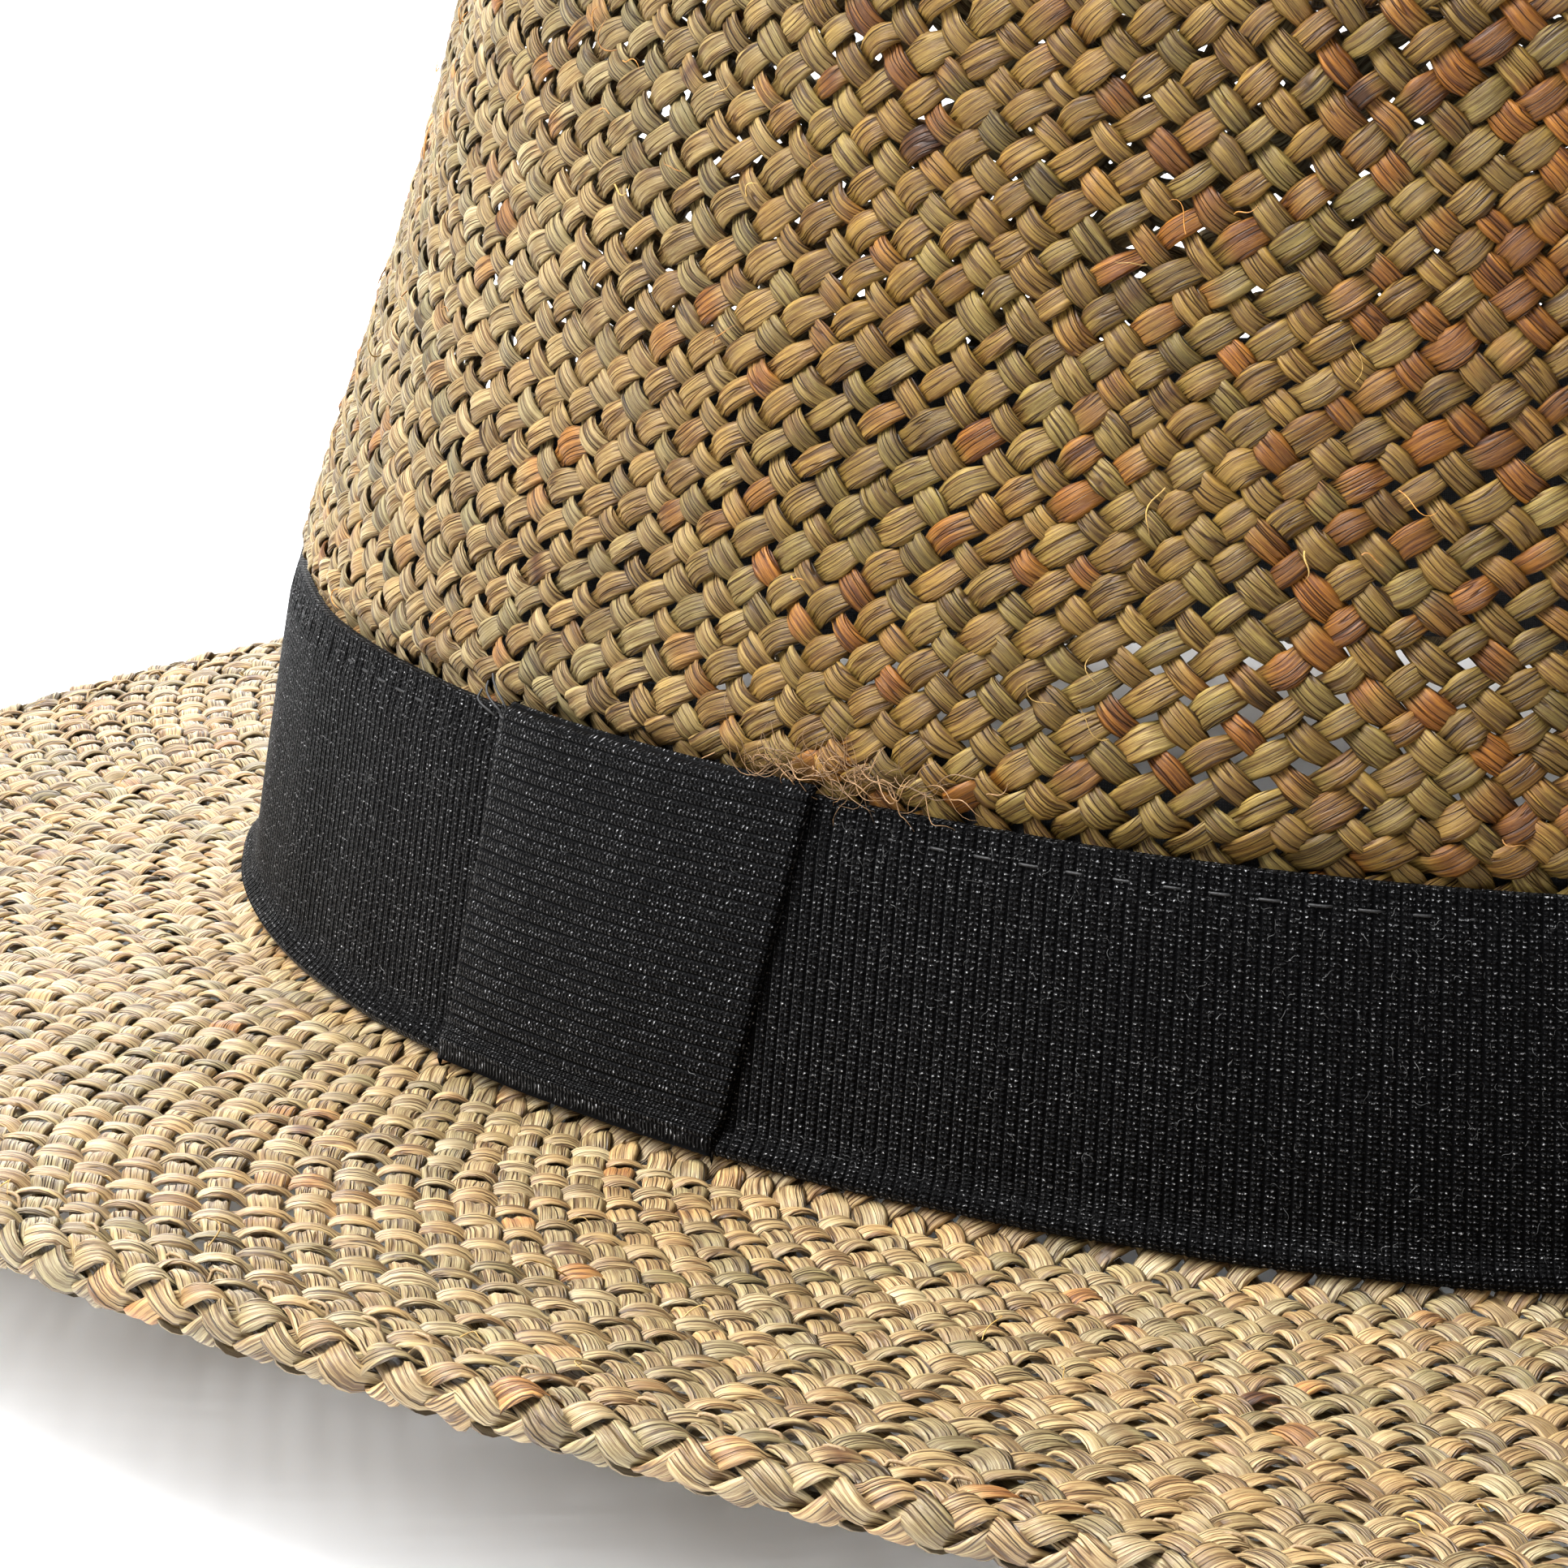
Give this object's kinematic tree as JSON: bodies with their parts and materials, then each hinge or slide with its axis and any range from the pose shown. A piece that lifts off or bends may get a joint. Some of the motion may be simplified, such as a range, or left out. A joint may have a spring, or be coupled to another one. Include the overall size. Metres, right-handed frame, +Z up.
{
  "type": "straw sun hat",
  "caption": "Woven seagrass sun hat with a pinched teardrop crown, a wired brim, a black grosgrain band with a flat keeper, and a cotton sweatband.",
  "frame": {"origin": "centre of the bounding box's underside: the middle of the head opening, on the plane that the brim stands on", "axes": "+Z up through the crown, +Y towards the back of the hat (the wearer faces -Y), +X towards the wearer's left, where the band's keeper is"},
  "size_m": [0.2984, 0.3304, 0.121],
  "materials": {
    "straw": "plain-woven flat seagrass strands, pale straw to olive with tan and brown ones",
    "wire": "plain drawn wire",
    "hem_thread": "reddish-brown sewing thread",
    "ribbon": "black grosgrain with raised ribs and a faint sheen",
    "ribbon_thread": "black sewing thread",
    "sweatband": "black woven cotton",
    "sweatband_thread": "black sewing thread",
    "seam_tape": "cream woven tape",
    "label": "blank satin label"
  },
  "bodies": {
    "root": {"straw_body": "straw", "brim_wire": "wire", "brim_hem_thread": "hem_thread", "ribbon_band": "ribbon", "ribbon_keeper": "ribbon", "ribbon_gathering_thread": "ribbon_thread", "keeper_tack_thread": "ribbon_thread", "sweatband": "sweatband", "sweatband_thread": "sweatband_thread", "sweatband_seam_tape": "seam_tape", "size_label": "label"}
  },
  "joints": []
}
